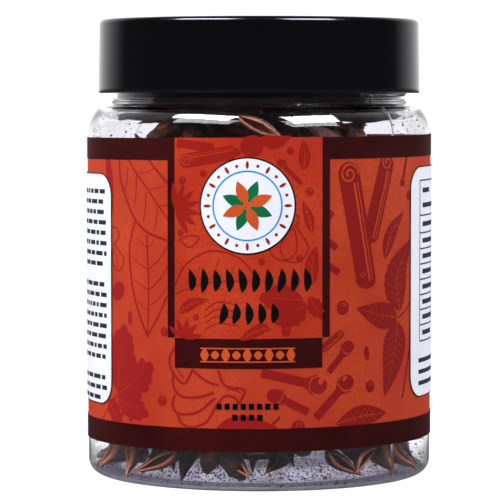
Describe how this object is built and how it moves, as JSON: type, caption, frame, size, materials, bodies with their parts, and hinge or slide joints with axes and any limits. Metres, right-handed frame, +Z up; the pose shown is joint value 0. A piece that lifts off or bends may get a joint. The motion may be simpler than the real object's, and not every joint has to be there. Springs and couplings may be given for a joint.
{
  "type": "jar of star anise",
  "caption": "Round clear jar with a shouldered neck, black screw lid and wrap-round orange label, filled with whole star anise pods.",
  "frame": {"origin": "middle of the jar's foot, on the surface it stands on", "axes": "+Z up along the jar's axis, -Y towards the label's front, +X to the right when the label is read"},
  "size_m": [0.0804, 0.0804, 0.1053],
  "materials": {
    "clear_plastic": "clear gloss",
    "black_plastic": "satin black",
    "printed_film": "satin print in orange, dark red and maroon",
    "dried_pod": "dry, dark reddish brown"
  },
  "bodies": {
    "root": {"jar": "clear_plastic", "lid": "black_plastic", "label": "printed_film", "star_anise": "dried_pod"}
  },
  "joints": []
}
